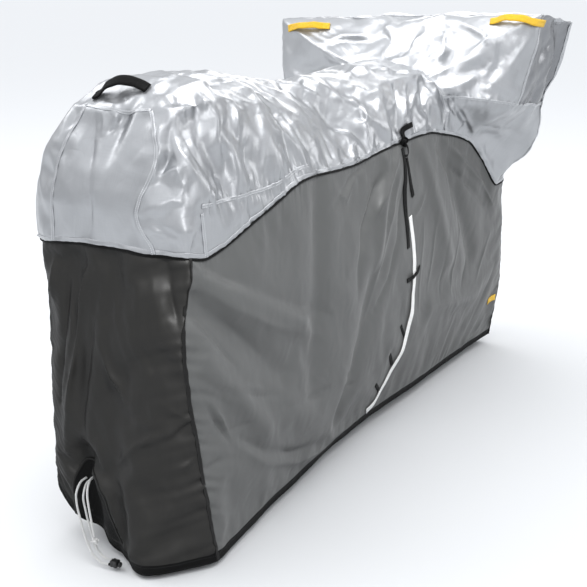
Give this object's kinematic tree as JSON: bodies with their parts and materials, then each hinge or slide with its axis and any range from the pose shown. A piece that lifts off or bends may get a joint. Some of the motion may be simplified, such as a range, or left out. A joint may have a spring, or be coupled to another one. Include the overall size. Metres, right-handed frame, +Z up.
{
  "type": "bicycle cover",
  "caption": "Fitted rain cover for a bicycle, hollow and open below, with a raised handlebar hood, carry handles, side ties and a hem drawcord.",
  "frame": {"origin": "the rest point under the ridge, about 7 mm below the cloth, about half way along the cover", "axes": "+X from the rear end to the handlebar hood, +Z up, -Y to the right side with the side tie"},
  "size_m": [1.9577, 0.8139, 1.1448],
  "materials": {
    "silver_coated_nylon": "silver coated cloth, satin sheen",
    "grey_nylon": "satin woven cloth",
    "black_nylon": "satin woven cloth",
    "black_binding": "matt ribbed binding",
    "black_webbing": "matt woven tape",
    "yellow_webbing": "matt woven webbing",
    "white_tape": "matt woven tape",
    "white_cord": "braided cord",
    "black_plastic": "moulded, matt"
  },
  "bodies": {
    "root": {"silver_rear_face": "silver_coated_nylon", "silver_saddle_top": "silver_coated_nylon", "silver_gusset_right": "silver_coated_nylon", "silver_gusset_left": "silver_coated_nylon", "hood_rear_face": "silver_coated_nylon", "hood_end_right": "silver_coated_nylon", "hood_end_left": "silver_coated_nylon", "hood_under_right": "silver_coated_nylon", "hood_under_left": "silver_coated_nylon", "hood_top_front": "silver_coated_nylon", "side_panel_grey_right": "grey_nylon", "side_panel_grey_left": "grey_nylon", "rear_panel_black": "black_nylon", "front_panel_black": "black_nylon", "seam_piping": "black_binding", "hem_band": "black_binding", "handle_rear_black": "black_webbing", "handle_hood_left_yellow": "yellow_webbing", "handle_hood_right_yellow": "yellow_webbing", "tie_tape_black": "black_webbing", "tie_knot_black": "black_webbing", "tie_end_upper_black": "black_webbing", "tie_end_lower_black": "black_webbing", "belly_tape_white": "white_tape", "belt_loop_1_black": "black_webbing", "belt_loop_2_black": "black_webbing", "belt_loop_3_black": "black_webbing", "belt_loop_4_black": "black_webbing", "side_tab_yellow": "yellow_webbing", "drawcord_loop": "white_cord", "drawcord_return": "white_cord", "drawcord_tail": "white_cord", "drawcord_knot": "white_cord", "drawcord_lock": "black_plastic"}
  },
  "joints": []
}
